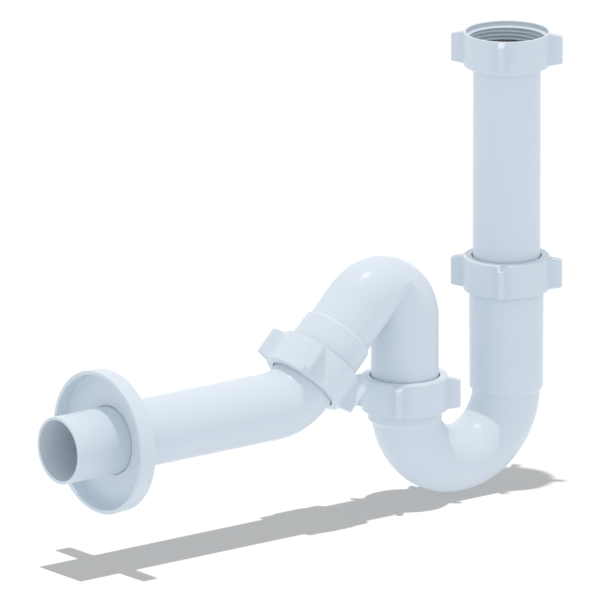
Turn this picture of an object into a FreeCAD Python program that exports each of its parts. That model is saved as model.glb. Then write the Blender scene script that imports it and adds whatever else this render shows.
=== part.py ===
import FreeCAD, Part
import Sketcher
import os
import re

# Tubular sink trap for 40 mm waste pipe, in millimetres, +Z up.
# The origin is the centre of the washer's top face, where the basin waste's threaded tail seats.
# The outlet leaves towards -X, and the trap's plane is XZ.

os.makedirs("parts", exist_ok=True)
doc = FreeCAD.newDocument("SinkTrap")
sizes = doc.addObject("Spreadsheet::Sheet", "Sizes")
Vector = FreeCAD.Vector

# Driving dimensions: each size that can be set by itself is written here, once.
driving = {
    # pipe
    "tube_radius": 20.0,
    "tube_wall": 1.8,
    "end_bevel": 0.6,
    # clearances
    "pipe_gap": 0.4,
    "ring_gap": 0.3,
    "hole_gap": 0.8,
    "seat_gap": 0.15,
    "floor_gap": 2.0,
    # nuts, all four alike
    "thread_room": 2.42,
    "thread_relief": 0.8,
    "nut_wall": 3.13,
    "nut_height": 20.5,
    "nut_shoulder": 3.3,
    "lead_in_step": 1.73,
    "lead_in_depth": 2.9,
    "lead_in_taper": 0.8,
    "lug_count": 4,
    "lug_height": 7.2,
    "lug_thickness": 3.8,
    "lug_inset": 1.6,
    "lug_turn": 45,
    "elbow_lug_turn": 45,
    "lug_round": 0.9,
    "lug_root_round": 1.5,
    "lug_corner": 1.6,
    "shoulder_round": 1.1,
    "mouth_round": 0.45,
    # rings inside the nuts
    "slip_ring_thickness": 1.2,
    "seal_head": 2.2,
    "seal_depth": 3.2,
    "washer_thickness": 3.0,
    # inlet pipe
    "flange_thickness": 3.0,
    "inlet_length": 176.0,
    # sockets
    "socket_wall": 2.05,
    "socket_draft": 0.3,
    "socket_mouth_flare": 1.05,
    "socket_mouth_depth": 3.6,
    "socket_step": 3.2,
    "socket_stub": 0.15,
    "socket_tuck": 1.2,
    # U-bend
    "leg_spacing": 76.2,
    "tall_nut_top": -124.8,
    "short_nut_top": -185.1,
    "trap_bend_level": -204.1,
    "tall_socket_foot": -204.7,
    "tall_socket_floor": -199.8,
    "short_socket_foot": -211.4,
    "short_socket_floor": -203.3,
    # outlet bend
    "crown_level": -150.7,
    "crown_gap": 0.3,
    "outlet_turn": 135,
    "collar_distance": 22.2,
    "elbow_socket_floor": 29.0,
    # outlet pipe
    "elbow_inner_radius": 12.0,
    "elbow_run": 0.1,
    "outlet_level": -187.7,
    "outlet_end": -333.3,
    # wall rosette
    "rosette_gap": 0.5,
    "rosette_radius": 42.7,
    "rosette_draft": 0.5,
    "rosette_rim": 2.5,
    "rosette_wall": 1.6,
    "rosette_plane": -304.4,
    "rosette_depth": 11.0,
    "rosette_round": 1.5,
    "rosette_hollow_round": 2.0,
}

# Sizes that follow from the driving ones.
derived = {
    "bore_radius": "tube_radius - tube_wall",
    "socket_bore_radius": "tube_radius + pipe_gap",
    "thread_radius": "tube_radius + thread_room",
    "nut_radius": "thread_radius + nut_wall",
    "lead_in_radius": "thread_radius + lead_in_step",
    "lug_reach": "nut_radius + lug_height",
    "ring_bore_radius": "tube_radius + ring_gap",
    "ring_radius": "thread_radius - ring_gap",
    "nut_hole_radius": "tube_radius + hole_gap",
    "relief_radius": "thread_radius + thread_relief",
    "thread_start": "nut_shoulder + flange_thickness + washer_thickness",
    "inlet_nut_foot": "0 - thread_start",
    "flange_top": "0 - washer_thickness",
    "inlet_foot": "flange_top - inlet_length",
    "seal_top": "nut_shoulder + slip_ring_thickness",
    "rim_drop": "seal_top + seal_head",
    "socket_radius": "tube_radius + socket_wall",
    "socket_foot_radius": "socket_radius - socket_draft",
    "socket_mouth_radius": "socket_bore_radius + socket_mouth_flare",
    "socket_start_radius": "tube_radius - socket_tuck",
    "trap_bend_radius": "leg_spacing / 2",
    "crown_bend_radius": "tube_radius + crown_gap",
    "crown_bend_x": "0 - leg_spacing - crown_bend_radius",
    "slope": "outlet_turn - 90",
    "crown_end_x": "crown_bend_x + crown_bend_radius * cos(outlet_turn)",
    "crown_end_z": "crown_level + crown_bend_radius * sin(outlet_turn)",
    "corner_distance": "(crown_end_z - outlet_level) / sin(slope)",
    "corner_x": "crown_end_x - corner_distance * cos(slope)",
    "elbow_radius": "tube_radius + elbow_inner_radius",
    "elbow_tangent": "elbow_radius * tan(slope / 2)",
    "rosette_back_radius": "rosette_radius - rosette_draft",
    "elbow_nut_distance": "corner_distance - elbow_tangent - elbow_run",
    "elbow_nut_x": "crown_end_x - elbow_nut_distance * cos(slope)",
    "elbow_nut_z": "crown_end_z - elbow_nut_distance * sin(slope)",
    "elbow_centre_x": "corner_x - elbow_tangent",
    "elbow_centre_z": "outlet_level + elbow_radius",
    "elbow_start_x": "corner_x + elbow_tangent * cos(slope)",
    "elbow_start_z": "outlet_level + elbow_tangent * sin(slope)",
    "pipe_spigot_distance": "elbow_socket_floor + floor_gap",
    "pipe_spigot_x": "crown_end_x - pipe_spigot_distance * cos(slope)",
    "pipe_spigot_z": "crown_end_z - pipe_spigot_distance * sin(slope)",
}


def fill_sheet():
    for row, (alias, number) in enumerate(driving.items(), start=1):
        sizes.set(f"A{row}", alias)
        sizes.set(f"B{row}", str(number))
        sizes.setAlias(f"B{row}", alias)
    doc.recompute()


def bound(formula):
    # a formula in words becomes an expression on the sheet's cells alone
    def replace(match):
        word = match.group(0)
        if word in derived:
            return "(" + bound(derived[word]) + ")"
        return "Sizes." + word if word in driving else word
    return re.sub(r"[a-z_]+", replace, str(formula))


def value(formula):
    return float(sizes.evalExpression(bound(formula)))


# Sketches and features

def new_body(name):
    body = doc.addObject("PartDesign::Body", name)
    body.Label = name
    return body


def new_sketch(body, role="XZ_Plane", shift=("0", "0", "0"), turn="0", turn_axis=Vector(0, 0, 1)):
    # shift and turn are in the plane's own directions: across, up and out of it
    sketch = body.newObject("Sketcher::SketchObject", "Sketch")
    plane = [datum for datum in body.Origin.OriginFeatures if datum.Role == role][0]
    sketch.AttachmentSupport = [(plane, "")]
    sketch.MapMode = "FlatFace"
    sketch.AttachmentOffset = FreeCAD.Placement(Vector(), FreeCAD.Rotation(turn_axis, value(turn)))
    for direction, distance in zip("xyz", shift):
        sketch.setExpression(f"AttachmentOffset.Base.{direction}", bound(distance))
    sketch.setExpression("AttachmentOffset.Rotation.Angle", bound(turn))
    return sketch


def hold(sketch, kind, geometry, end, formula):
    number = sketch.addConstraint(Sketcher.Constraint(kind, -1, 1, geometry, end, value(formula)))
    sketch.setExpression(f"Constraints[{number}]", bound(formula))


def pin(sketch, geometry, end, across, up):
    # holds one point of a sketch at two bound distances from the sketch's origin
    hold(sketch, "DistanceX", geometry, end, across)
    hold(sketch, "DistanceY", geometry, end, up)


def draw_outline(sketch, corners):
    # a closed outline of straight sides; a corner that also names a centre starts an arc about it
    points = [Vector(value(corner[0]), value(corner[1]), 0) for corner in corners]
    joins = []
    for side, corner in enumerate(corners):
        start = points[side]
        end = points[(side + 1) % len(points)]
        if len(corner) == 2:
            joins.append((sketch.addGeometry(Part.LineSegment(start, end)), 1, 2))
            continue
        centre = Vector(value(corner[2]), value(corner[3]), 0)
        onward = (start - centre).cross(end - centre).z > 0
        circle = Part.Circle(centre, Vector(0, 0, 1), (start - centre).Length)
        first, last = (start, end) if onward else (end, start)
        arc = Part.ArcOfCircle(circle, circle.parameter(first), circle.parameter(last))
        joins.append((sketch.addGeometry(arc), 1, 2) if onward else (sketch.addGeometry(arc), 2, 1))
    for (side, _, leaves), (following, enters, _) in zip(joins, joins[1:] + joins[:1]):
        sketch.addConstraint(Sketcher.Constraint("Coincident", side, leaves, following, enters))
    for (side, enters, _), corner in zip(joins, corners):
        pin(sketch, side, enters, corner[0], corner[1])
        if len(corner) == 4:
            hold(sketch, "DistanceX", side, 3, corner[2])


def draw_circle(sketch, across, up, radius):
    centre = Vector(value(across), value(up), 0)
    circle = sketch.addGeometry(Part.Circle(centre, Vector(0, 0, 1), value(radius)))
    pin(sketch, circle, 3, across, up)
    number = sketch.addConstraint(Sketcher.Constraint("Radius", circle, value(radius)))
    sketch.setExpression(f"Constraints[{number}]", bound(radius))


def turn_profile(body, sketch, kind="Revolution", axis="V_Axis", angle="360", backwards=False):
    feature = body.newObject(f"PartDesign::{kind}", kind)
    feature.Profile = sketch
    feature.ReferenceAxis = (sketch, [axis])
    feature.Reversed = backwards
    feature.setExpression("Angle", bound(angle))
    doc.recompute()
    return feature


def revolve(body, corners, **place):
    sketch = new_sketch(body, **place)
    draw_outline(sketch, corners)
    return turn_profile(body, sketch)


def bore(body, corners, **place):
    sketch = new_sketch(body, **place)
    draw_outline(sketch, corners)
    return turn_profile(body, sketch, "Groove")


def edges_of(body, chosen):
    # names of the edges of a body's present shape that pass a test
    return [f"Edge{number}" for number, edge in enumerate(body.Shape.Edges, start=1) if chosen(edge)]


def dress(body, kind, size, chosen):
    doc.recompute()
    tip = body.Tip
    names = edges_of(body, chosen)
    if not names:
        raise RuntimeError(f"{body.Name}: no edge for {kind} {size}")
    feature = body.newObject(f"PartDesign::{kind}", kind)
    feature.Base = (tip, names)
    feature.setExpression("Radius" if kind == "Fillet" else "Size", bound(size))
    doc.recompute()
    return feature


def near(first, second):
    return abs(first - second) < 0.01


def ring_edge(radius, height):
    # tests for a full or part circle about the body's own Z axis
    def test(edge):
        curve = edge.Curve
        if not isinstance(curve, Part.Circle):
            return False
        level = near(curve.Center.z, value(height))
        return level and near(curve.Radius, value(radius)) and near(abs(curve.Axis.z), 1)
    return test


def place(body, x="0", z="0", tilt="0"):
    # tilt turns the body about +Y
    body.Placement = FreeCAD.Placement(Vector(), FreeCAD.Rotation(Vector(0, 1, 0), value(tilt)))
    body.setExpression("Placement.Base.x", bound(x))
    body.setExpression("Placement.Base.z", bound(z))
    body.setExpression("Placement.Rotation.Angle", bound(tilt))


# Nuts: the body's own origin is the centre of the shoulder's outer face, and +Z points to the mouth

def add_lugs(body, turn):
    sketch = new_sketch(body, turn=turn, turn_axis=Vector(0, 1, 0))
    foot = "lug_inset"
    top = "nut_height - lug_inset"
    root = "(lead_in_radius + nut_radius) / 2"
    draw_outline(sketch, [(root, foot), ("lug_reach", foot), ("lug_reach", top), (root, top)])
    lug = body.newObject("PartDesign::Pad", "Lug")
    lug.Profile = sketch
    lug.Midplane = True
    lug.setExpression("Length", bound("lug_thickness"))
    doc.recompute()
    lugs = body.newObject("PartDesign::PolarPattern", "Lugs")
    lugs.Originals = [lug]
    lugs.Axis = ([axis for axis in body.Origin.OriginFeatures if axis.Role == "Z_Axis"][0], [""])
    lugs.Angle = 360
    lugs.setExpression("Occurrences", bound("lug_count"))
    body.Tip = lugs
    doc.recompute()


def is_lug_root(edge):
    middle = edge.CenterOfMass
    on_ring = near(Vector(middle.x, middle.y, 0).Length, value("nut_radius"))
    return on_ring and near(edge.Length, value("nut_height - lug_inset - lug_inset"))


def is_lug_end(edge):
    middle = edge.CenterOfMass
    outside = Vector(middle.x, middle.y, 0).Length > value("nut_radius + lug_root_round")
    return outside and near(edge.Length, value("nut_height - lug_inset - lug_inset"))


def round_lug_corners(body):
    # the lugs' outer corners, at the shoulder's end and at the mouth's, are turned off round
    low = "lug_inset"
    high = "nut_height - lug_inset"
    inner = "lug_reach - lug_corner"
    outer = "lug_reach + lug_corner"
    bore(body, [(inner, low, inner, f"{low} + lug_corner"), ("lug_reach", f"{low} + lug_corner"),
                (outer, f"{low} + lug_corner"), (outer, f"{low} - lug_corner"), (inner, f"{low} - lug_corner")])
    bore(body, [("lug_reach", f"{high} - lug_corner", inner, f"{high} - lug_corner"), (inner, high),
                (inner, f"{high} + lug_corner"), (outer, f"{high} + lug_corner"), (outer, f"{high} - lug_corner")])


def make_nut(name, x="0", z="0", tilt="0", lug_turn="lug_turn"):
    body = new_body(name)
    revolve(body, [
        ("nut_hole_radius", "0"),
        ("nut_radius", "0"),
        ("nut_radius", "nut_height"),
        ("lead_in_radius", "nut_height"),
        ("lead_in_radius", "nut_height - lead_in_depth"),
        ("thread_radius", "nut_height - lead_in_depth - lead_in_taper"),
        ("thread_radius", "thread_start"),
        ("relief_radius", "thread_start"),
        ("relief_radius", "nut_shoulder"),
        ("nut_hole_radius", "nut_shoulder"),
    ])
    add_lugs(body, lug_turn)
    dress(body, "Fillet", "lug_root_round", is_lug_root)
    dress(body, "Fillet", "lug_round", is_lug_end)
    dress(body, "Fillet", "shoulder_round", ring_edge("nut_radius", "0"))
    dress(body, "Fillet", "mouth_round", ring_edge("nut_radius", "nut_height"))
    dress(body, "Fillet", "mouth_round", ring_edge("lead_in_radius", "nut_height"))
    round_lug_corners(body)
    place(body, x, z, tilt)
    return body


# Rings inside a coupling: their own origin and +Z are those of the nut that holds them

def make_slip_ring(name, x, z, tilt):
    body = new_body(name)
    revolve(body, [
        ("ring_bore_radius", "nut_shoulder"),
        ("ring_radius", "nut_shoulder"),
        ("ring_radius", "seal_top"),
        ("ring_bore_radius", "seal_top"),
    ])
    place(body, x, z, tilt)
    return body


def make_seal(name, x, z, tilt):
    # a flat head on the socket's rim, and a tapered lip in its mouth
    body = new_body(name)
    mouth_taper = "(socket_mouth_radius - socket_bore_radius) / socket_mouth_depth"
    revolve(body, [
        ("ring_bore_radius", "seal_top"),
        ("ring_radius", "seal_top"),
        ("ring_radius", "rim_drop"),
        ("socket_mouth_radius - seat_gap", "rim_drop"),
        (f"socket_mouth_radius - seat_gap - seal_depth * {mouth_taper}", "rim_drop + seal_depth"),
        ("ring_bore_radius", "rim_drop + seal_depth"),
    ])
    place(body, x, z, tilt)
    return body


def make_coupling(name, nut_name, x, z, tilt, lug_turn="lug_turn"):
    make_nut(nut_name, x, z, tilt, lug_turn)
    make_slip_ring(f"{name}_slip_ring", x, z, tilt)
    make_seal(f"{name}_seal", x, z, tilt)


# Sockets, drawn as radius and height in a sketch whose upright axis is the socket's and points out of its mouth

def socket_skin(rim, foot, start):
    return [
        ("0", start),
        ("socket_start_radius", start),
        ("socket_start_radius", f"{foot} - socket_step"),
        ("socket_foot_radius", foot),
        ("socket_radius", rim),
        ("0", rim),
    ]


def socket_bore(rim, floor, start):
    return [
        ("0", start),
        ("bore_radius", start),
        ("bore_radius", floor),
        ("socket_bore_radius", floor),
        ("socket_bore_radius", f"{rim} - socket_mouth_depth"),
        ("socket_mouth_radius", rim),
        ("0", rim),
    ]


def add_bend(body, kind, radius, centre_x, level, bend_radius, angle, backwards):
    # a round section carried about a level axis through the bend's centre
    sketch = new_sketch(body, "XY_Plane", shift=(centre_x, "0", level))
    draw_circle(sketch, bend_radius, "0", radius)
    return turn_profile(body, sketch, kind, angle=angle, backwards=backwards)


# Pieces

def make_inlet_pipe():
    body = new_body("inlet_pipe")
    revolve(body, [
        ("bore_radius", "inlet_foot"),
        ("tube_radius - end_bevel", "inlet_foot"),
        ("tube_radius", "inlet_foot + end_bevel"),
        ("tube_radius", "flange_top - flange_thickness"),
        ("ring_radius", "flange_top - flange_thickness"),
        ("ring_radius", "flange_top"),
        ("bore_radius", "flange_top"),
    ])


def make_inlet_washer():
    body = new_body("inlet_washer")
    revolve(body, [
        ("bore_radius", "flange_top"),
        ("ring_radius", "flange_top"),
        ("ring_radius", "0"),
        ("bore_radius", "0"),
    ])


def make_u_bend():
    body = new_body("u_bend")
    short_leg = ("0 - leg_spacing", "0", "0")
    tall_rim = "tall_nut_top - rim_drop"
    short_rim = "short_nut_top - rim_drop"
    tall_start = "tall_socket_foot - socket_step - socket_stub"
    short_start = "short_socket_foot - socket_step - socket_stub"
    bend = ("0 - trap_bend_radius", "trap_bend_level", "trap_bend_radius", "180", False)
    add_bend(body, "Revolution", "tube_radius", *bend)
    revolve(body, socket_skin(tall_rim, "tall_socket_foot", tall_start))
    revolve(body, socket_skin(short_rim, "short_socket_foot", short_start), shift=short_leg)
    add_bend(body, "Groove", "bore_radius", *bend)
    bore(body, socket_bore(tall_rim, "tall_socket_floor", "trap_bend_level"))
    bore(body, socket_bore(short_rim, "short_socket_floor", "trap_bend_level"), shift=short_leg)


def make_outlet_bend():
    body = new_body("outlet_bend")
    spigot = {"shift": ("0 - leg_spacing", "0", "0")}
    sloped = {"shift": ("crown_end_x", "crown_end_z", "0"), "turn": "outlet_turn"}
    spigot_foot = "short_socket_floor + floor_gap"
    rim = "elbow_nut_distance - rim_drop"
    bend = ("crown_bend_x", "crown_level", "crown_bend_radius", "outlet_turn", True)
    add_bend(body, "Revolution", "tube_radius", *bend)
    revolve(body, [
        ("0", spigot_foot),
        ("tube_radius - end_bevel", spigot_foot),
        ("tube_radius", f"{spigot_foot} + end_bevel"),
        ("tube_radius", "crown_level"),
        ("0", "crown_level"),
    ], **spigot)
    revolve(body, [("0", "0"), ("tube_radius", "0"), ("tube_radius", "collar_distance"), ("0", "collar_distance")],
            **sloped)
    collar_start = "collar_distance - socket_step - socket_step"
    revolve(body, socket_skin(rim, "collar_distance", collar_start), **sloped)
    add_bend(body, "Groove", "bore_radius", *bend)
    bore(body, [("0", spigot_foot), ("bore_radius", spigot_foot), ("bore_radius", "crown_level"),
                ("0", "crown_level")], **spigot)
    bore(body, socket_bore(rim, "elbow_socket_floor", "0"), **sloped)


def make_outlet_pipe():
    body = new_body("outlet_pipe")
    path = new_sketch(body)
    corner = Vector(value("elbow_centre_x"), value("outlet_level"), 0)
    start = Vector(value("elbow_start_x"), value("elbow_start_z"), 0)
    centre = Vector(value("elbow_centre_x"), value("elbow_centre_z"), 0)
    level_run = path.addGeometry(Part.LineSegment(Vector(value("outlet_end"), corner.y, 0), corner))
    circle = Part.Circle(centre, Vector(0, 0, 1), value("elbow_radius"))
    elbow = path.addGeometry(Part.ArcOfCircle(circle, circle.parameter(corner), circle.parameter(start)))
    spigot = Vector(value("pipe_spigot_x"), value("pipe_spigot_z"), 0)
    sloped_run = path.addGeometry(Part.LineSegment(start, spigot))
    pin(path, level_run, 1, "outlet_end", "outlet_level")
    pin(path, level_run, 2, "elbow_centre_x", "outlet_level")
    pin(path, sloped_run, 1, "elbow_start_x", "elbow_start_z")
    pin(path, sloped_run, 2, "pipe_spigot_x", "pipe_spigot_z")
    path.addConstraint(Sketcher.Constraint("Coincident", elbow, 1, level_run, 2))
    path.addConstraint(Sketcher.Constraint("Coincident", elbow, 2, sloped_run, 1))
    hold(path, "DistanceX", elbow, 3, "elbow_centre_x")
    section = new_sketch(body, "YZ_Plane", shift=("0", "outlet_level", "outlet_end"))
    draw_circle(section, "0", "0", "tube_radius")
    draw_circle(section, "0", "0", "bore_radius")
    pipe = body.newObject("PartDesign::AdditivePipe", "Run")
    pipe.Profile = section
    pipe.Spine = (path, ["Edge1", "Edge2", "Edge3"])
    doc.recompute()

    def outer_end(edge):
        curve = edge.Curve
        return isinstance(curve, Part.Circle) and near(curve.Radius, value("tube_radius"))
    ends = [edge for edge in body.Shape.Edges if outer_end(edge)]
    spigot_end = max(ends, key=lambda edge: edge.CenterOfMass.x)
    dress(body, "Chamfer", "end_bevel", spigot_end.isSame)


def make_wall_rosette():
    # a shallow dish whose hollow side faces the wall: across is the distance into the room
    body = new_body("wall_rosette")
    hole = "tube_radius + rosette_gap"
    floor = "rosette_depth - rosette_wall"
    inner = "rosette_radius - rosette_rim"
    sketch = new_sketch(body, shift=("rosette_plane", "outlet_level", "0"))
    draw_outline(sketch, [
        ("0", inner),
        ("0", "rosette_radius"),
        ("rosette_depth - rosette_round", "rosette_back_radius",
         "rosette_depth - rosette_round", "rosette_back_radius - rosette_round"),
        ("rosette_depth", "rosette_back_radius - rosette_round"),
        ("rosette_depth", hole),
        (floor, hole),
        (floor, f"{inner} - rosette_hollow_round",
         f"{floor} - rosette_hollow_round", f"{inner} - rosette_hollow_round"),
        (f"{floor} - rosette_hollow_round", inner),
    ])
    turn_profile(body, sketch, axis="H_Axis")


def check_objects():
    for item in doc.Objects:
        if "Invalid" in item.State or "Error" in item.State:
            raise RuntimeError(f"{item.Name} failed: {item.State}")
    for body in doc.findObjects("PartDesign::Body"):
        if body.Shape.isNull() or not body.Shape.isValid():
            raise RuntimeError(f"{body.Label} has no valid shape")


def export_pieces():
    for body in doc.findObjects("PartDesign::Body"):
        body.Shape.exportStep(f"parts/{body.Label}.step")
        print(f"{body.Label:24s} {body.Shape.Volume / 1000:8.2f} cm3  solids {len(body.Shape.Solids)}")


fill_sheet()
make_nut("inlet_nut", z="inlet_nut_foot")
make_inlet_pipe()
make_inlet_washer()
make_u_bend()
make_coupling("inlet_socket", "inlet_socket_nut", "0", "tall_nut_top", "180")
make_outlet_bend()
make_coupling("outlet_socket", "outlet_socket_nut", "0 - leg_spacing", "short_nut_top", "180")
make_outlet_pipe()
make_coupling("elbow", "elbow_nut", "elbow_nut_x", "elbow_nut_z", "180 - outlet_turn", "elbow_lug_turn")
make_wall_rosette()
doc.recompute()
check_objects()
export_pieces()
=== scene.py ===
import math

import bpy
import numpy as np
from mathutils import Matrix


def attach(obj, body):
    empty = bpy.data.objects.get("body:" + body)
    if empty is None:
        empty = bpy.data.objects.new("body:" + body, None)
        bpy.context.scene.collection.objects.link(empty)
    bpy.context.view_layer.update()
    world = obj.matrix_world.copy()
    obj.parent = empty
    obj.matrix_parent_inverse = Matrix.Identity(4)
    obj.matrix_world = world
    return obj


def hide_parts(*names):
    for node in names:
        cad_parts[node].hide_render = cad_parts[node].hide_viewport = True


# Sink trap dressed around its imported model. Lengths are in millimetres, apart from the studio's and
# its view's, and angles are in degrees.
# The origin is the top of the inlet washer, +Z is up and the outlet runs towards -X.

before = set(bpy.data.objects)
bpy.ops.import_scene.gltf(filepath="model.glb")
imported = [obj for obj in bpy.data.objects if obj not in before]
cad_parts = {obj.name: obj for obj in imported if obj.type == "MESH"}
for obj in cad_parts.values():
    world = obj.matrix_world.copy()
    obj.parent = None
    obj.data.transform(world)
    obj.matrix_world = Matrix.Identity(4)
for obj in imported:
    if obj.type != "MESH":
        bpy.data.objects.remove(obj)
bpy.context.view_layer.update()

millimetre = 0.001
acrossPlane = np.array([0.0, 1.0, 0.0])  # the trap bends in XZ, so Y is always square to a pipe's run


# Shading

class Wire:
    # a shader socket that can stand in a sum or a product, each of which adds its Math node
    def __init__(self, shading, socket):
        self.shading = shading
        self.socket = socket

    def __add__(self, other):
        return self.shading.node("ShaderNodeMath", {"operation": "ADD"}, {0: self, 1: other})

    def __mul__(self, other):
        return self.shading.node("ShaderNodeMath", {"operation": "MULTIPLY"}, {0: self, 1: other})

    __radd__ = __add__
    __rmul__ = __mul__


class Shading:
    # one node tree, filled through one method
    def __init__(self, tree):
        self.tree = tree
        tree.nodes.clear()

    def node(self, kind, settings=None, inputs=None, output=0):
        made = self.tree.nodes.new(kind)
        for key, value in (settings or {}).items():
            setattr(made, key, value)
        for key, value in (inputs or {}).items():
            if isinstance(value, Wire):
                self.tree.links.new(value.socket, made.inputs[key])
            else:
                made.inputs[key].default_value = value
        return Wire(self, made.outputs[output]) if len(made.outputs) else made


plasticLook = {
    "name": "mouldedPlastic",
    "colour": (0.745, 0.800, 0.855, 1),
    "paleColour": (0.755, 0.809, 0.863, 1),
    "cloudSize": 38,
    "roughness": 0.29,
    "roughnessSpread": 0.04,
    "specular": 0.17,
    "grainSize": 0.9,
    "grainHeight": 0.005,
}
ringLook = {
    "name": "slipRingPlastic",
    "colour": (0.78, 0.80, 0.80, 1),
    "paleColour": (0.84, 0.86, 0.86, 1),
    "cloudSize": 12,
    "roughness": 0.46,
    "roughnessSpread": 0.10,
    "specular": 0.4,
    "grainSize": 0.6,
    "grainHeight": 0.010,
}
rubberLook = {
    "name": "blackRubber",
    "colour": (0.030, 0.031, 0.034, 1),
    "paleColour": (0.055, 0.056, 0.060, 1),
    "cloudSize": 6,
    "roughness": 0.58,
    "roughnessSpread": 0.16,
    "specular": 0.5,
    "grainSize": 0.35,
    "grainHeight": 0.030,
}


def mouldedMaterial(look):
    # cloudy colour and gloss, with a fine grain left by the mould
    material = bpy.data.materials.new(look["name"])
    material.use_nodes = True
    shading = Shading(material.node_tree)
    place = shading.node("ShaderNodeTexCoord", output="Object")
    cloud = shading.node("ShaderNodeTexNoise", inputs={
        "Vector": place, "Scale": 1 / (look["cloudSize"] * millimetre), "Detail": 3.0, "Roughness": 0.55})
    grain = shading.node("ShaderNodeTexNoise", inputs={
        "Vector": place, "Scale": 1 / (look["grainSize"] * millimetre), "Detail": 2.0, "Roughness": 0.5})
    colour = shading.node("ShaderNodeMix", {"data_type": "RGBA"}, {
        0: cloud, 6: look["colour"], 7: look["paleColour"]}, output=2)
    roughness = cloud * look["roughnessSpread"] + (look["roughness"] - look["roughnessSpread"] / 2)
    dimple = shading.node("ShaderNodeBump", inputs={
        "Strength": 1.0, "Distance": look["grainHeight"] * millimetre, "Height": grain})
    surface = shading.node("ShaderNodeBsdfPrincipled", inputs={
        "Base Color": colour, "Roughness": roughness, "Normal": dimple,
        "Specular IOR Level": look["specular"]})
    shading.node("ShaderNodeOutputMaterial", inputs={"Surface": surface})
    return material


plastic = mouldedMaterial(plasticLook)
ringPlastic = mouldedMaterial(ringLook)
rubber = mouldedMaterial(rubberLook)
print("materials made")


# Outlines

def smoothStep(low, high, amount):
    t = np.clip((amount - low) / (high - low), 0, 1)
    return t * t * (3 - 2 * t)


def roundedCorners(corners, guard=0.06, steps=5):
    # corners are (along, radius, round). Each becomes an arc tangent to both its sides:
    # centre = corner + (before + after) unit vector * round / sin(half angle), swept from one
    # tangent point to the other. A guard point either side keeps the flats flat in shading.
    corner = np.array([c[:2] for c in corners], float)
    radius = np.array([c[2] for c in corners], float)[:, None]
    before = np.roll(corner, 1, axis=0) - corner
    after = np.roll(corner, -1, axis=0) - corner
    before /= np.linalg.norm(before, axis=1, keepdims=True)
    after /= np.linalg.norm(after, axis=1, keepdims=True)
    half = np.arccos(np.clip((before * after).sum(axis=1, keepdims=True), -1, 1)) / 2
    setback = radius / np.tan(half)
    middle = before + after
    middle /= np.linalg.norm(middle, axis=1, keepdims=True)
    centre = corner + middle * radius / np.sin(half)
    first = (corner + before * setback - centre)[:, None]
    last = (corner + after * setback - centre)[:, None]
    sweep = (math.pi - 2 * half)[:, None]
    t = np.linspace(0, 1, steps + 1)[None, :, None]
    arc = centre[:, None] + (np.sin((1 - t) * sweep) * first + np.sin(t * sweep) * last) / np.sin(sweep)
    entry = (corner + before * (setback + guard))[:, None]
    leave = (corner + after * (setback + guard))[:, None]
    return np.concatenate([entry, arc, leave], axis=1)


def finer(outline, longest):
    # the closed outline again, with its long sides divided evenly
    closed = np.vstack([outline, outline[:1]])
    length = np.linalg.norm(np.diff(closed, axis=0), axis=1)
    parts = np.maximum(1, np.ceil(length / longest)).astype(int)
    share = np.concatenate([np.arange(n) / n for n in parts])
    side = np.repeat(np.arange(len(parts)), parts)
    return closed[side] + share[:, None] * (closed[side + 1] - closed[side])


def roundedOutline(corners, longest=400.0, **settings):
    return finer(roundedCorners(corners, **settings).reshape(-1, 2), longest)


def turnsSharply(outline, straight=0.99999):
    # the points where a closed outline bends, and the neighbours that guard them;
    # straight is the cosine of the least turn that counts as a bend
    side = np.roll(outline, -1, axis=0) - outline
    side /= np.linalg.norm(side, axis=1, keepdims=True)
    bends = (side * np.roll(side, 1, axis=0)).sum(axis=1) < straight
    return bends | np.roll(bends, 1) | np.roll(bends, -1)


def thinned(outline, dense, every=24):
    # keeps the dense rows, the bends with their guards, and one row in every so many
    sparse = np.arange(len(outline)) % every == 0
    return outline[dense | sparse | turnsSharply(outline)]


# Runs

def straightRun(start, direction):
    # centre(along) = start + along * direction
    start = np.array(start, float)
    direction = np.array(direction, float)

    def at(along):
        centre = start + along[:, None] * direction
        return centre, np.broadcast_to(direction, centre.shape)
    return at


def bentRun(start, heading, runs):
    # runs are (length, curvature), joined end to end in the XZ plane. The heading is the angle from
    # +X towards +Z. On an arc of curvature k it is a + k s, so x = x0 + (sin(a + k s) - sin a) / k
    # and z = z0 - (cos(a + k s) - cos a) / k.
    def at(along):
        centre = np.zeros((len(along), 3))
        angles = np.zeros(len(along))
        x, z = start
        angle = math.radians(heading)
        begin = 0.0
        for length, curvature in runs:
            here = along >= begin
            step = np.append(along[here] - begin, length)
            turned = angle + curvature * step
            if curvature:
                xs = x + (np.sin(turned) - math.sin(angle)) / curvature
                zs = z - (np.cos(turned) - math.cos(angle)) / curvature
            else:
                xs = x + step * math.cos(angle)
                zs = z + step * math.sin(angle)
            centre[here, 0] = xs[:-1]
            centre[here, 2] = zs[:-1]
            angles[here] = turned[:-1]
            x, z, angle, begin = xs[-1], zs[-1], turned[-1], begin + length
        heads = np.stack([np.cos(angles), np.zeros(len(along)), np.sin(angles)], axis=-1)
        return centre, heads
    return at


def runLength(runs):
    return sum(length for length, _ in runs)


def sidewaysOf(heading):
    # square to the run and in the XZ plane, so that sideways, Y and the heading are right-handed
    return np.stack([heading[:, 2], np.zeros(len(heading)), -heading[:, 0]], axis=-1)


# Threads

thread = {
    "pitch": 2.309,
    "turnOffset": 0.57,
    "depth": 1.42,
    "flat": 0.06,
    "nutCrest": 22.42,
    "fadeIn": 0.9,
    "fadeOut": 1.6,
    "skinDepth": 0.3,
}


def ridge(along, turn):
    # 1 in the nut's groove and 0 on its ridge: a triangle wave of along / pitch - turn / (2 pi),
    # flattened at both ends
    phase = along / thread["pitch"] - turn / (2 * math.pi) - thread["turnOffset"]
    wave = np.abs(2 * (phase - np.floor(phase)) - 1)
    return smoothStep(thread["flat"], 1 - thread["flat"], wave)


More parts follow.
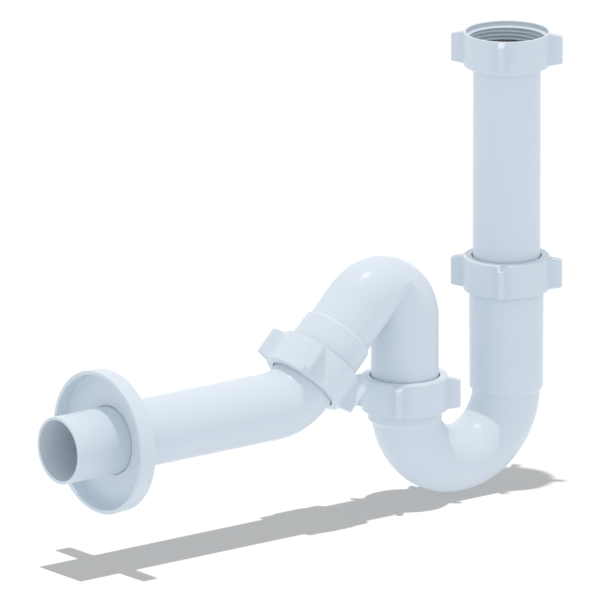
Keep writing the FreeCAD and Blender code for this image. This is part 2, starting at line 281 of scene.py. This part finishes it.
def wormRise(along, radius, turn, worm):
    # how far a thread stands out of the skin it is cut on, fading in and out at its two ends
    onSkin = (along > worm["from"]) & (along < worm["to"]) & (radius > worm["root"] - thread["skinDepth"])
    fade = smoothStep(worm["from"], worm["from"] + thread["fadeIn"], along)
    fade = fade * (1 - smoothStep(worm["to"] - thread["fadeOut"], worm["to"], along)) * onSkin
    return fade[:, None] * (thread["depth"] * ridge(along[:, None], turn[None]))


# Skins

def mitredRadii(along, radii, turn, mitre):
    # Both straight tubes run on into the bend until they meet in a crease, and only its outside is swept.
    # Where the bend has turned by a from the nearer tube, that tube's skin is t from the centre line, with
    # ((R + t cos q) cos a - R)^2 + (t sin q)^2 = r^2, and on the outside t stays within r.
    turned = np.clip((along - mitre["from"]) / mitre["bendRadius"], 0, mitre["turn"])
    lean = np.cos(np.minimum(turned, mitre["turn"] - turned))[:, None]
    outward = np.cos(turn)[None]
    square = (lean * outward) ** 2 + np.sin(turn)[None] ** 2
    drop = mitre["bendRadius"] * (1 - lean)
    middle = lean * outward * drop
    skin = (middle + np.sqrt(middle ** 2 - square * (drop ** 2 - radii ** 2))) / square
    return np.where(outward > 0, np.minimum(skin, radii), skin)


def carried(outline, run, columns=168, worm=None, mitre=None):
    # P(i, j) = centre(along i) + radius(i, j) * (cos(turn j) * sideways(i) + sin(turn j) * Y),
    # where a mitre creases the inside of a bend and a worm adds a thread
    along, radius = outline.T
    centre, heading = run(along)
    turn = np.linspace(0, 2 * math.pi, columns, endpoint=False)
    radii = np.repeat(radius[:, None], columns, axis=1)
    if mitre:
        radii = mitredRadii(along, radii, turn, mitre)
    if worm:
        radii = radii + wormRise(along, radius, turn, worm)
    around = np.cos(turn)[None, :, None] * sidewaysOf(heading)[:, None]
    around = around + np.sin(turn)[None, :, None] * acrossPlane
    return centre[:, None] + radii[..., None] * around


def shellFaces(points):
    # one quad to each cell of the grid, wrapping round both ways, turned so the volume is positive
    rows, columns = points.shape[:2]
    index = np.arange(rows * columns).reshape(rows, columns)
    index = np.vstack([index, index[:1]])
    index = np.hstack([index, index[:, :1]])
    quads = np.stack([index[:-1, :-1], index[1:, :-1], index[1:, 1:], index[:-1, 1:]], axis=-1)
    quads = quads.reshape(-1, 4)
    a, b, c, d = (points.reshape(-1, 3)[quads[:, k]] for k in range(4))
    volume = (np.cross(b - a, c - a) * (a + b + c)).sum() + (np.cross(c - a, d - a) * (a + c + d)).sum()
    return quads if volume > 0 else quads[:, ::-1]


def makePiece(name, shells, node, body, material):
    # joins closed shells into one mesh that stands for a CAD node
    vertices = np.concatenate([shell.reshape(-1, 3) for shell in shells]) * millimetre
    starts = np.cumsum([0] + [shell.shape[0] * shell.shape[1] for shell in shells])
    quads = np.concatenate([shellFaces(shell) + start for shell, start in zip(shells, starts)])
    mesh = bpy.data.meshes.new(name)
    mesh.from_pydata(vertices, [], quads)
    mesh.shade_smooth()
    mesh.materials.append(material)
    piece = bpy.data.objects.new(name, mesh)
    bpy.context.scene.collection.objects.link(piece)
    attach(piece, body)
    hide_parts(node)
    print(f"  {name}: {len(quads)} quads")


# Sizes and places that several pieces share

pipe = {"radius": 20.0, "bore": 18.2, "rowGap": 1.6, "guard": 0.05}

# the rounds at a pipe's end, first at its bore and then outside
spigotEnd = (0.3, 0.55)
outletEnd = (0.25, 0.3)
hiddenEnd = (0.1, 0.1)

headingUp = 90.0
headingDown = -90.0
upwards = np.array([0.0, 0.0, 1.0])
downwards = np.array([0.0, 0.0, -1.0])

crown = {"legX": -76.2, "level": -150.7, "bendRadius": 20.3, "turn": 135.0}
crownTurn = math.radians(crown["turn"])
sloped = math.radians(crown["turn"] + headingUp)
downSlope = np.array([math.cos(sloped), 0.0, math.sin(sloped)])
crownEnd = np.array([
    crown["legX"] - crown["bendRadius"] + crown["bendRadius"] * math.cos(crownTurn),
    0.0,
    crown["level"] + crown["bendRadius"] * math.sin(crownTurn),
])

outlet = {"spigot": 31.0, "elbowRadius": 32.0, "elbowRun": 0.1, "level": -187.7, "end": -333.3}
slopeAngle = math.radians(crown["turn"] - headingUp)
cornerDistance = (crownEnd[2] - outlet["level"]) / -downSlope[2]
elbowTangent = outlet["elbowRadius"] * math.tan(slopeAngle / 2)
elbowNutDistance = cornerDistance - elbowTangent - outlet["elbowRun"]

# where each nut's shoulder face is, and the way its mouth looks
nutLevel = {"inlet": -9.3, "tall": -124.8, "short": -185.1}
nutPlaces = {
    "inlet": {"at": (0.0, 0.0, nutLevel["inlet"]), "mouth": upwards},
    "tall": {"at": (0.0, 0.0, nutLevel["tall"]), "mouth": downwards},
    "short": {"at": (crown["legX"], 0.0, nutLevel["short"]), "mouth": downwards},
    "elbow": {"at": crownEnd + elbowNutDistance * downSlope, "mouth": -downSlope},
}


def nutAxis(key):
    # distances along it are from the nut's shoulder face
    return straightRun(nutPlaces[key]["at"], nutPlaces[key]["mouth"])


def pipeOutline(length, firstEnd, lastEnd, rowGap=pipe["rowGap"]):
    return roundedOutline([
        (0, pipe["bore"], firstEnd[0]),
        (0, pipe["radius"], firstEnd[1]),
        (length, pipe["radius"], lastEnd[1]),
        (length, pipe["bore"], lastEnd[0]),
    ], longest=rowGap, guard=pipe["guard"])


# Nuts

nutShape = {
    "radius": 25.55,
    "height": 20.5,
    "hole": 20.8,
    "holeRound": 0.3,
    "shoulder": 3.3,
    "shoulderRound": 1.1,
    "insideRound": 0.2,
    "mouthRound": 0.45,
    "leadRadius": 24.15,
    "leadDepth": 2.9,
    "leadTaper": 0.8,
    "ledgeRound": 0.15,
    "crestRound": 0.12,
    "threadRows": 52,
    "threadGap": 0.2,
    "threadFadeFrom": 0.1,
    "threadFadeTo": 0.6,
    "threadFrom": 9.3,
    "threadEndRound": 0.05,
    "reliefRadius": 23.9,
    "reliefEndRound": 0.02,
    "reliefRound": 0.5,
    "guard": 0.04,
    "joinGap": 0.02,
}
lugShape = {
    "count": 4,
    "turn": 45.0,
    "reach": 33.0,
    "thickness": 3.8,
    "footInset": 0.6,
    "headInset": 0.35,
    "taper": 1.4,
    "cornerRound": 0.8,
    "rootRound": 1.5,
    "endRound": 0.9,
    "edgeRound": 0.55,
    "fillet": 0.12,
    "guard": 0.06,
    "rowGap": 2.6,
    "cornerSteps": 6,
    "plainColumns": 22,
    "rootColumns": 8,
    "flankColumns": 6,
    "curlColumns": 6,
}


def lugColumns(nut, lug):
    # one lug's sector, from its middle to half way to the next: b runs across the lug and
    # h is how far the skin stands out of the ring there, once for each side
    half = lug["thickness"] / 2
    ring = nut["radius"]
    guard = lug["guard"]
    filletB = half + lug["rootRound"]
    filletA = math.sqrt((ring + lug["rootRound"]) ** 2 - filletB ** 2)
    tangent = math.atan2(filletB, filletA)
    sector = math.pi / lug["count"]
    plain = np.linspace(sector, tangent, lug["plainColumns"], endpoint=False)
    swing = np.linspace(tangent, math.pi / 2, lug["rootColumns"])
    root = np.stack([filletA - lug["rootRound"] * np.cos(swing), filletB - lug["rootRound"] * np.sin(swing)])
    endA = lug["reach"] - lug["endRound"]
    endB = half - lug["endRound"]
    flank = np.linspace(root[0, -1] + guard, endA - guard, lug["flankColumns"])
    curl = np.linspace(0, math.pi / 2, lug["curlColumns"])
    end = np.stack([endA + lug["endRound"] * np.sin(curl), endB + lug["endRound"] * np.cos(curl)])
    face = [endB - guard, endB / 2, 0.0]
    a = np.concatenate([ring * np.cos(plain), root[0], flank, end[0], np.full(len(face), lug["reach"])])
    b = np.concatenate([ring * np.sin(plain), root[1], np.full(len(flank), half), end[1], face])
    h = np.maximum(a - np.sqrt(ring ** 2 - b ** 2), 0)
    return np.concatenate([b, -b[-2:0:-1]]), np.concatenate([h, h[-2:0:-1]])


def lugRows(nut, lug):
    # the lug from the side: (height up the nut, how far it stands out), narrowing evenly towards its tip.
    # The outline closes under the ring's skin, and those rows are left out.
    under = -1.0
    underRound = 0.1
    hair = 1e-6
    full = lug["reach"] - nut["radius"]
    foot, head = lug["footInset"], nut["height"] - lug["headInset"]
    rows = roundedOutline([
        (0, under, underRound),
        (0, 0, underRound),
        (foot, 0, lug["fillet"]),
        (foot + lug["taper"], full, lug["cornerRound"]),
        (head - lug["taper"], full, lug["cornerRound"]),
        (head, 0, lug["fillet"]),
        (nut["height"], 0, underRound),
        (nut["height"], under, underRound),
    ], longest=lug["rowGap"], guard=lug["guard"], steps=lug["cornerSteps"])
    root = lug["fillet"] + lug["guard"]
    onLug = (rows[:, 1] > -hair) & (rows[:, 0] > foot - root) & (rows[:, 0] < head + root)
    return rows[onLug].T


def edgePinch(nut, lug, height, standOut):
    # how much narrower a lug is where its skin curls round to the sloped foot and head
    slope = lug["taper"] / (lug["reach"] - nut["radius"])
    aboveFoot = height - lug["footInset"] - slope * standOut
    belowHead = nut["height"] - lug["headInset"] - slope * standOut - height
    edge = lug["edgeRound"]
    depth = np.clip(np.minimum(aboveFoot, belowHead), 0, edge)
    return edge - np.sqrt(edge ** 2 - (edge - depth) ** 2)


def ringSkin(nut, height):
    # the ring's radius at a height, with its rounds at the shoulder and at the mouth
    radius = nut["radius"]
    for size, inRound in [(nut["shoulderRound"], nut["shoulderRound"] - height),
                          (nut["mouthRound"], height - nut["height"] + nut["mouthRound"])]:
        radius = radius - size + np.sqrt(size ** 2 - np.clip(inRound, 0, size) ** 2)
    return radius


def nutSection(nut, lug):
    # the ring's closed section as rows of height and radius, down the inside and up the outside,
    # and for each row how much of a lug it carries, how deep its thread is and whether it is outside
    ledge = nut["height"] - nut["leadDepth"]
    threadTop = ledge - nut["leadTaper"]
    crest = thread["nutCrest"]
    section = roundedCorners([
        (nut["height"], nut["radius"], nut["mouthRound"]),
        (nut["height"], nut["leadRadius"], nut["mouthRound"]),
        (ledge, nut["leadRadius"], nut["ledgeRound"]),
        (threadTop, crest, nut["crestRound"]),
        (nut["threadFrom"], crest, nut["threadEndRound"]),
        (nut["threadFrom"], nut["reliefRadius"], nut["reliefEndRound"]),
        (nut["shoulder"], nut["reliefRadius"], nut["reliefRound"]),
        (nut["shoulder"], nut["hole"], nut["insideRound"]),
        (0, nut["hole"], nut["holeRound"]),
        (0, nut["radius"], nut["shoulderRound"]),
    ], guard=nut["guard"])
    heights = np.linspace(threadTop - nut["threadGap"], nut["threadFrom"], nut["threadRows"])
    screw = np.stack([heights, np.full(len(heights), crest)], axis=1)
    outHeight, standOut = lugRows(nut, lug)
    mouthRound = section[0][section[0][:, 0] > outHeight.max() + nut["joinGap"]]
    shoulderRound = section[-1][section[-1][:, 0] < outHeight.min() - nut["joinGap"]]
    above = np.concatenate([mouthRound, section[1:4].reshape(-1, 2)])
    inside = np.concatenate([above, screw, section[5:-1].reshape(-1, 2), shoulderRound])

    height = np.concatenate([inside[:, 0], outHeight])
    radius = np.concatenate([inside[:, 1], ringSkin(nut, outHeight)])
    reached = np.concatenate([np.zeros(len(inside)), standOut / standOut.max()])
    row = np.arange(len(height))
    screwed = (row >= len(above)) & (row < len(above) + len(screw))
    fade = smoothStep(threadTop - nut["threadFadeFrom"], threadTop - nut["threadFadeTo"], height)
    return height, radius, reached, thread["depth"] * screwed * fade, row >= len(inside)


def nutShell(key):
    # the ring's section is carried round the axis, and its outside swells into the lugs:
    # P = radius * (cos q, sin q) + h * reached * (1, 0), turned by the lug's own angle,
    # where q = asin(b / ring radius) and b is pinched near the lug's two ends
    nut, lug = nutShape, lugShape
    b, h = lugColumns(nut, lug)
    lugAngle = np.repeat(np.arange(lug["count"]) * 2 * math.pi / lug["count"], len(b))
    lugAngle = lugAngle + math.radians(lug["turn"])
    b, h = np.tile(b[::-1], lug["count"]), np.tile(h[::-1], lug["count"])
    height, radius, reached, threadDepth, outside = nutSection(nut, lug)

    hold = smoothStep(0.0, lug["rootRound"], h)
    pinch = edgePinch(nut, lug, height[:, None], h * reached[:, None]) * outside[:, None]
    pinched = b * (1 - hold * pinch / (lug["thickness"] / 2))
    swing = np.arcsin(pinched / nut["radius"])
    radii = radius[:, None] + ridge(height[:, None], swing + lugAngle) * threadDepth[:, None]
    outward = radii * np.cos(swing) + h * reached[:, None]
    aside = radii * np.sin(swing)
    x = outward * np.cos(lugAngle) - aside * np.sin(lugAngle)
    y = outward * np.sin(lugAngle) + aside * np.cos(lugAngle)
    centre, heading = nutAxis(key)(height)
    return centre[:, None] + x[..., None] * sidewaysOf(heading)[:, None] + y[..., None] * acrossPlane


for key, name, node in [
    ("inlet", "inletNut", "inlet_nut"),
    ("tall", "inletSocketNut", "inlet_socket_nut"),
    ("short", "outletSocketNut", "outlet_socket_nut"),
    ("elbow", "elbowNut", "elbow_nut"),
]:
    makePiece(name, [nutShell(key)], node, node, plastic)
print("nuts made")


# Rings inside the nuts

ringShape = {
    "bore": 20.3,
    "radius": 22.12,
    "slipFrom": 3.3,
    "slipTo": 4.5,
    "slipRound": 0.2,
    "headTo": 6.7,
    "headRound": 0.35,
    "headBoreRound": 0.25,
    "lipTo": 9.9,
    "lipRadius": 21.3,
    "lipEndRadius": 20.37,
    "lipRound": 0.15,
    "lipEndRound": 0.02,
    "sealGuard": 0.01,
    "columns": 96,  # fewer than on the other pieces, because the nuts hide these rings
}


def slipRingOutline(ring):
    return roundedOutline([
        (ring["slipFrom"], ring["bore"], ring["slipRound"]),
        (ring["slipFrom"], ring["radius"], ring["slipRound"]),
        (ring["slipTo"], ring["radius"], ring["slipRound"]),
        (ring["slipTo"], ring["bore"], ring["slipRound"]),
    ])


def sealOutline(ring):
    # a square head under the slip ring, and a lip that tapers into the socket's mouth
    return roundedOutline([
        (ring["slipTo"], ring["bore"], ring["headBoreRound"]),
        (ring["slipTo"], ring["radius"], ring["headRound"]),
        (ring["headTo"], ring["radius"], ring["headRound"]),
        (ring["headTo"], ring["lipRadius"], ring["lipRound"]),
        (ring["lipTo"], ring["lipEndRadius"], ring["lipEndRound"]),
        (ring["lipTo"], ring["bore"], ring["lipEndRound"]),
    ], guard=ring["sealGuard"])


for key, name, carrier in [
    ("tall", "inlet_socket", "u_bend"),
    ("short", "outlet_socket", "u_bend"),
    ("elbow", "elbow", "outlet_bend"),
]:
    slipRing = carried(slipRingOutline(ringShape), nutAxis(key), columns=ringShape["columns"])
    makePiece(name + "_slipRing", [slipRing], name + "_slip_ring", name + "_slip_ring",
              ringPlastic)
    sealRing = carried(sealOutline(ringShape), nutAxis(key), columns=ringShape["columns"])
    makePiece(name + "_sealRing", [sealRing], name + "_seal", carrier, rubber)
print("rings made")


# Inlet pipe and its washer

inletShape = {
    "washer": 3.0,
    "washerRound": 0.4,
    "flange": 3.0,
    "flangeRadius": 22.12,
    "flangeRound": 0.3,
    "neckRound": 0.4,
    "length": 176.0,
}


def inletPipeOutline(inlet):
    flangeFoot = inlet["washer"] + inlet["flange"]
    pipeFoot = inlet["washer"] + inlet["length"]
    return roundedOutline([
        (inlet["washer"], pipe["bore"], inlet["flangeRound"]),
        (inlet["washer"], inlet["flangeRadius"], inlet["flangeRound"]),
        (flangeFoot, inlet["flangeRadius"], inlet["flangeRound"]),
        (flangeFoot, pipe["radius"], inlet["neckRound"]),
        (pipeFoot, pipe["radius"], spigotEnd[1]),
        (pipeFoot, pipe["bore"], spigotEnd[0]),
    ])


def washerOutline(inlet):
    return roundedOutline([
        (0, pipe["bore"], inlet["washerRound"]),
        (0, inlet["flangeRadius"], inlet["washerRound"]),
        (inlet["washer"], inlet["flangeRadius"], inlet["washerRound"]),
        (inlet["washer"], pipe["bore"], inlet["washerRound"]),
    ])


inletRun = straightRun((0, 0, 0), downwards)
makePiece("inletPipe", [carried(inletPipeOutline(inletShape), inletRun)], "inlet_pipe", "inlet_pipe",
          plastic)
makePiece("inletWasher", [carried(washerOutline(inletShape), inletRun)], "inlet_washer", "inlet_pipe",
          rubber)
print("inlet pipe made")


# Sockets and bends

socketShape = {
    "rim": 6.7,
    "rimRound": 0.15,
    "radius": 22.05,
    "footRadius": 21.75,
    "footRound": 0.25,
    "mouthRadius": 21.45,
    "mouthDepth": 3.6,
    "mouthRound": 0.3,
    "bore": 20.4,
    "step": 3.2,
    "buriedRadius": 18.8,
    "buriedLength": 0.3,
    "buriedRound": 0.05,
    "threadGap": 0.3,
    "threadTo": 19.2,
    "threadTail": 0.5,
    "rowGap": 0.2,
    "guard": 0.05,
}


def socketShell(key, floor, foot):
    # distances are from the nut's shoulder face; the foot's end is buried in the pipe's wall
    socket = socketShape
    mouthFoot = socket["rim"] + socket["mouthDepth"]
    buried = floor + socket["buriedLength"]
    outline = roundedOutline([
        (socket["rim"], socket["mouthRadius"], socket["rimRound"]),
        (socket["rim"], socket["radius"], socket["rimRound"]),
        (foot, socket["footRadius"], socket["footRound"]),
        (foot + socket["step"], socket["buriedRadius"], socket["buriedRound"]),
        (buried, socket["buriedRadius"], socket["buriedRound"]),
        (buried, socket["bore"], socket["buriedRound"]),
        (mouthFoot, socket["bore"], socket["mouthRound"]),
    ], longest=socket["rowGap"], guard=socket["guard"])
    worm = {"from": socket["rim"] + socket["threadGap"], "to": socket["threadTo"], "root": socket["radius"]}
    along, radius = outline.T
    threaded = (along < worm["to"] + socket["threadTail"]) & (radius > worm["root"] - thread["skinDepth"])
    return carried(thinned(outline, threaded), nutAxis(key), worm=worm)


trap = {
    "bendRadius": 38.1,
    "level": -204.1,
    "tallFloor": -199.8,
    "tallFoot": -204.7,
    "shortFloor": -203.3,
    "shortFoot": -211.4,
}
trapRuns = [
    (trap["tallFloor"] - trap["level"], 0),
    (math.pi * trap["bendRadius"], -1 / trap["bendRadius"]),
    (trap["shortFloor"] - trap["level"], 0),
]
trapRun = bentRun((0, trap["tallFloor"]), headingDown, trapRuns)
makePiece("trapBend", [
    carried(pipeOutline(runLength(trapRuns), hiddenEnd, hiddenEnd), trapRun),
    socketShell("tall", nutLevel["tall"] - trap["tallFloor"], nutLevel["tall"] - trap["tallFoot"]),
    socketShell("short", nutLevel["short"] - trap["shortFloor"], nutLevel["short"] - trap["shortFoot"]),
], "u_bend", "u_bend", plastic)
print("trap bend made")

hook = {"spigotFoot": -201.3, "socketFloor": 29.0, "collar": 22.2, "rowGap": 0.5, "columns": 264}
hookRuns = [
    (crown["level"] - hook["spigotFoot"], 0),
    (crown["bendRadius"] * crownTurn, 1 / crown["bendRadius"]),
    (hook["socketFloor"], 0),
]
hookRun = bentRun((crown["legX"], hook["spigotFoot"]), headingUp, hookRuns)
hookMitre = {"from": hookRuns[0][0], "bendRadius": crown["bendRadius"], "turn": crownTurn}


def hookOutline():
    # rows stand close together through the bend, one of them on the crease
    outline = pipeOutline(runLength(hookRuns), spigotEnd, hiddenEnd, rowGap=hook["rowGap"])
    start, bend = hookRuns[0][0], hookRuns[1][0]
    crease = start + bend / 2
    margin = 2 * hook["rowGap"]
    inBend = (outline[:, 0] > start - margin) & (outline[:, 0] < start + bend + margin)
    outline = thinned(outline, inBend)
    for skin in (pipe["radius"], pipe["bore"]):
        onSkin = np.flatnonzero(outline[:, 1] == skin)
        nearest = onSkin[np.argmin(np.abs(outline[onSkin, 0] - crease))]
        outline[nearest, 0] = crease
    return outline


makePiece("hookBend", [
    carried(hookOutline(), hookRun, columns=hook["columns"], mitre=hookMitre),
    socketShell("elbow", elbowNutDistance - hook["socketFloor"], elbowNutDistance - hook["collar"]),
], "outlet_bend", "outlet_bend", plastic)
print("hooked bend made")


# Outlet pipe and rosette

outletStart = crownEnd + outlet["spigot"] * downSlope
levelFrom = (crownEnd + cornerDistance * downSlope)[0] - elbowTangent
outletRuns = [
    (cornerDistance - elbowTangent - outlet["spigot"], 0),
    (outlet["elbowRadius"] * slopeAngle, -1 / outlet["elbowRadius"]),
    (levelFrom - outlet["end"], 0),
]
outletRun = bentRun((outletStart[0], outletStart[2]), crown["turn"] + headingUp, outletRuns)
makePiece("outletPipe", [carried(pipeOutline(runLength(outletRuns), spigotEnd, outletEnd), outletRun)],
          "outlet_pipe", "outlet_pipe", plastic)

rosetteShape = {
    "plane": -304.4,
    "radius": 42.7,
    "backRadius": 42.2,
    "rim": 2.5,
    "rimRound": 0.6,
    "wall": 1.6,
    "depth": 11.0,
    "hole": 20.5,
    "lip": 0.6,
    "lipHole": 20.05,
    "lipRound": 0.1,
    "round": 1.5,
    "hollowRound": 2.0,
    "edgeRound": 0.35,
    "rowGap": 8.0,
    "cornerSteps": 8,
    "columns": 240,
}


def rosetteOutline(dish):
    # from the flat rim on the wall, over the rounded back to the hole with its snug lip, and
    # out again through the hollow
    rimInside = dish["radius"] - dish["rim"]
    hollow = dish["depth"] - dish["wall"]
    lipFoot = dish["depth"] - dish["lip"]
    return roundedOutline([
        (0, rimInside, dish["edgeRound"]),
        (0, dish["radius"], dish["rimRound"]),
        (dish["depth"], dish["backRadius"], dish["round"]),
        (dish["depth"], dish["lipHole"], dish["lipRound"]),
        (lipFoot, dish["lipHole"], dish["lipRound"]),
        (lipFoot, dish["hole"], dish["lipRound"]),
        (hollow, dish["hole"], dish["edgeRound"]),
        (hollow, rimInside, dish["hollowRound"]),
    ], longest=dish["rowGap"], steps=dish["cornerSteps"])


rosetteRun = straightRun((rosetteShape["plane"], 0, outlet["level"]), (1, 0, 0))
rosetteShell = carried(rosetteOutline(rosetteShape), rosetteRun, columns=rosetteShape["columns"])
makePiece("wallRosette", [rosetteShell], "wall_rosette", "wall_rosette", plastic)
print("outlet pipe and rosette made")


# Studio

# lengths are in metres here
studio = {
    "floorLevel": -0.2626,
    "floorSize": 14.0,
    "floorColour": (0.20, 0.20, 0.20, 1),
    "floorGlow": (0.325, 0.325, 0.325, 1),
    "bounceColour": (0.03, 0.03, 0.03, 1),
    "bounceGlow": (0.765, 0.81, 0.855, 1),
    "skySeen": (1.0, 1.0, 1.0, 1),
    "skyGlow": (0.71, 0.757, 0.804, 1),
    "topSun": 1.02,
    "topSunColour": (1.0, 0.93, 0.87),
    "topSunAngle": 0.3,
    "floorSun": 8.5,
    "floorSunAngle": 1.5,
    "sunLean": 0.72,
    "sunTowards": -12.0,
}

# lengths are in metres, and the lens and its sensor in millimetres
view = {
    "azimuth": -38.0,
    "elevation": 15.3,
    "across": -0.1214,
    "up": -0.14755,
    "depth": 0.047,
    "width": 0.3525,
    "lens": 1700.0,
    "sensor": 36.0,
    "clipStart": 0.1,
    "clipEnd": 60.0,
}


def whenSeen(shading, thrown, seen):
    # one colour where the camera, a reflection or glass sees it, another in the light it throws on others
    rays = [shading.node("ShaderNodeLightPath", output=name)
            for name in ("Is Camera Ray", "Is Glossy Ray", "Is Transmission Ray")]
    direct = shading.node("ShaderNodeMath", {"operation": "MINIMUM"}, {
        0: rays[0] + rays[1] + rays[2], 1: 1.0})
    return shading.node("ShaderNodeMix", {"data_type": "RGBA"}, {0: direct, 6: thrown, 7: seen}, output=2)


def floorMaterial():
    # seen, it is grey in shadow and white in the sun; the light it throws back is a pale blue glow
    material = bpy.data.materials.new("paleFloor")
    material.use_nodes = True
    shading = Shading(material.node_tree)
    matt = shading.node("ShaderNodeBsdfDiffuse", inputs={
        "Color": whenSeen(shading, studio["bounceColour"], studio["floorColour"])})
    glow = shading.node("ShaderNodeEmission", inputs={
        "Color": whenSeen(shading, studio["bounceGlow"], studio["floorGlow"])})
    surface = shading.node("ShaderNodeAddShader", inputs={0: matt, 1: glow})
    shading.node("ShaderNodeOutputMaterial", inputs={"Surface": surface})
    return material


def makeFloor():
    half = studio["floorSize"] / 2
    corners = np.array([[-half, -half, 0], [half, -half, 0], [half, half, 0], [-half, half, 0]])
    mesh = bpy.data.meshes.new("studioFloor")
    mesh.from_pydata(corners + [0, 0, studio["floorLevel"]], [], [(0, 1, 2, 3)])
    mesh.materials.append(floorMaterial())
    floor = bpy.data.objects.new("studioFloor", mesh)
    bpy.context.scene.collection.objects.link(floor)
    return floor


def makeSun(name, energy, angle, colour=(1, 1, 1)):
    # shines almost straight down, as the photograph's shadows show
    light = bpy.data.lights.new(name, "SUN")
    light.energy = energy
    light.angle = math.radians(angle)
    light.color = colour
    sun = bpy.data.objects.new(name, light)
    sun.rotation_euler = (0, -math.radians(studio["sunLean"]), math.radians(studio["sunTowards"]))
    bpy.context.scene.collection.objects.link(sun)
    return sun


def makeCamera():
    # across, up and depth place the point looked at, in the camera's own directions
    azimuth, elevation = math.radians(view["azimuth"]), math.radians(view["elevation"])
    level = math.cos(elevation)
    right = np.array([math.cos(azimuth), math.sin(azimuth), 0])
    back = np.array([math.sin(azimuth) * level, -math.cos(azimuth) * level, math.sin(elevation)])
    upward = np.cross(back, right)
    distance = view["width"] * view["lens"] / view["sensor"]
    lens = bpy.data.cameras.new("photoCamera")
    lens.lens = view["lens"]
    lens.sensor_width = view["sensor"]
    lens.clip_start, lens.clip_end = view["clipStart"], view["clipEnd"]
    camera = bpy.data.objects.new("photoCamera", lens)
    camera.location = right * view["across"] + upward * view["up"] + back * (view["depth"] + distance)
    camera.rotation_euler = (math.pi / 2 - elevation, 0, azimuth)
    bpy.context.scene.collection.objects.link(camera)
    return camera


floor = makeFloor()
makeSun("topSun", studio["topSun"], studio["topSunAngle"], studio["topSunColour"])
floorSun = makeSun("floorSun", studio["floorSun"], studio["floorSunAngle"])
floorOnly = bpy.data.collections.new("floorOnly")
floorOnly.objects.link(floor)
floorSun.light_linking.receiver_collection = floorOnly

world = bpy.data.worlds.new("studioWorld")
world.use_nodes = True
bpy.context.scene.world = world
sky = Shading(world.node_tree)
backdrop = sky.node("ShaderNodeBackground", inputs={
    "Color": whenSeen(sky, studio["skyGlow"], studio["skySeen"])})
sky.node("ShaderNodeOutputWorld", inputs={"Surface": backdrop})

bpy.context.scene.camera = makeCamera()
bpy.context.scene.view_settings.view_transform = "Standard"
print("studio made")
